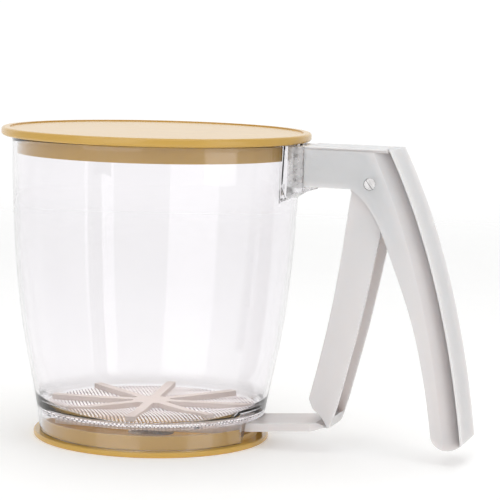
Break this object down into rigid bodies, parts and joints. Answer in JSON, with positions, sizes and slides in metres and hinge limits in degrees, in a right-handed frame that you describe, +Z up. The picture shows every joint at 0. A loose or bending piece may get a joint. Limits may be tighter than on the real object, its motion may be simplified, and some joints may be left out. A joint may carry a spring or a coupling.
{
  "type": "flour sifter",
  "caption": "Clear tapered cup with a fine mesh base, spoked agitator, squeeze trigger handle, lift-off lid and clip-on bottom cap.",
  "frame": {"origin": "centre of the bottom cap's flat face, on the cup's axis", "axes": "+Z up along the cup's axis, +X towards the handle"},
  "size_m": [0.2027, 0.13, 0.1302],
  "materials": {
    "clear_plastic": "polished clear styrene-acrylonitrile",
    "yellow_plastic": "golden yellow polypropylene, soft gloss",
    "white_plastic": "warm white satin plastic",
    "ivory_plastic": "ivory satin plastic",
    "steel_mesh": "woven stainless wire",
    "steel": "bright zinc-plated steel"
  },
  "bodies": {
    "root": {"cup_body": "clear_plastic", "sieve_mesh": "steel_mesh", "sieve_frame": "clear_plastic", "handle_shell": "white_plastic", "palm_cover": "white_plastic", "pivot_barrel": "steel", "pivot_screw": "steel", "return_spring": "steel"},
    "trigger": {"trigger": "white_plastic"},
    "push_arm": {"push_arm": "white_plastic", "living_hinge": "white_plastic"},
    "agitator": {"agitator_wheel": "ivory_plastic", "drive_pinion": "white_plastic", "pinion_washer": "steel", "pinion_screw": "steel"},
    "top_lid": {"top_lid": "yellow_plastic"},
    "bottom_cap": {"bottom_cap": "yellow_plastic"}
  },
  "joints": [
    {"name": "trigger_hinge", "type": "hinge", "parent": "root", "child": "trigger", "pos_m": [0.0959, 0, 0.1124], "axis": [0, -1, 0], "range_deg": [0, 14], "stiffness_Nm_per_rad": 0.35, "springref_deg": -40.11, "deforming": ["return_spring"]},
    {"name": "arm_hinge", "type": "hinge", "parent": "trigger", "child": "push_arm", "pos_m": [0.0799, 0, 0.0113], "axis": [0, -1, 0], "range_deg": [-14, 0], "deforming": ["living_hinge"]},
    {"name": "agitator_spin", "type": "hinge", "parent": "root", "child": "agitator", "pos_m": [0, 0, 0.0125], "axis": [0, 0, 1], "range_deg": [-190.4, 0]},
    {"name": "lid_lift", "type": "slide", "parent": "root", "child": "top_lid", "axis": [0, 0, 1], "range_m": [0, 0.06]},
    {"name": "cap_pull", "type": "slide", "parent": "root", "child": "bottom_cap", "axis": [0, 0, -1], "range_m": [0, 0.04]}
  ],
  "couplings": [
    {"joint": "arm_hinge", "follows": "trigger_hinge", "ratio": -1},
    {"joint": "agitator_spin", "follows": "trigger_hinge", "ratio": -13.6}
  ]
}
